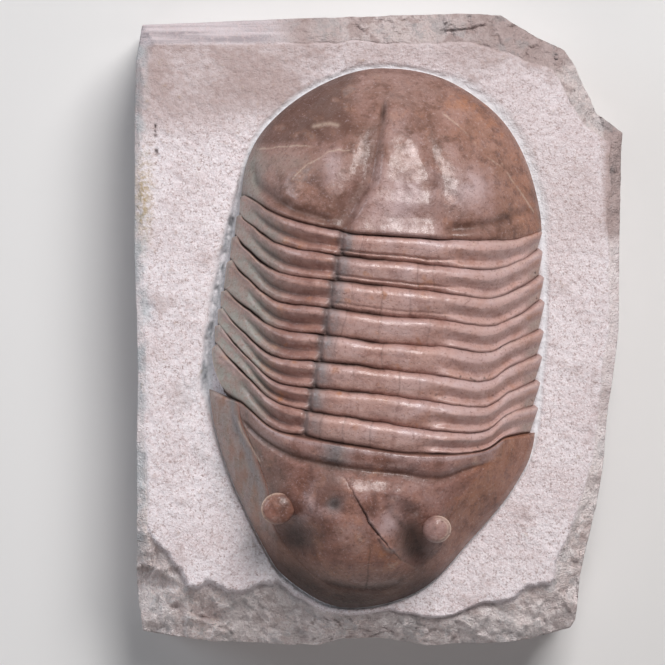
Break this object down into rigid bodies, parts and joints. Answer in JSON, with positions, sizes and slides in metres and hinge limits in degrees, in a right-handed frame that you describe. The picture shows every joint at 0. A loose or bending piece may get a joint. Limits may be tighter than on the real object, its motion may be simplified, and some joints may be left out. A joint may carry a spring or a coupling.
{
  "type": "trilobite fossil on limestone block",
  "caption": "Whole trilobite, back upward, standing proud of the prepared face of a pale limestone block that lies on its flat sawn back.",
  "frame": {"origin": "middle of the block's flat sawn back, on the surface that it rests on", "axes": "+Z out of the prepared face, +Y along the block towards the end where the tail lies, +X across the block, to the right with the tail end away from the viewer"},
  "size_m": [0.0734, 0.0954, 0.036],
  "materials": {
    "limestone": "matte, finely pecked",
    "tail_shell": "smooth, waxy sheen",
    "thorax_shell": "smooth, waxy sheen",
    "head_shell": "smooth, waxy sheen",
    "cheek_shell": "smooth, waxy sheen"
  },
  "bodies": {
    "root": {"matrix_block": "limestone", "pygidium": "tail_shell", "thoracic_segment_1": "thorax_shell", "thoracic_segment_2": "thorax_shell", "thoracic_segment_3": "thorax_shell", "thoracic_segment_4": "thorax_shell", "thoracic_segment_5": "thorax_shell", "thoracic_segment_6": "thorax_shell", "thoracic_segment_7": "thorax_shell", "thoracic_segment_8": "thorax_shell", "cranidium": "head_shell", "free_cheek_left": "cheek_shell", "free_cheek_right": "cheek_shell"}
  },
  "joints": []
}
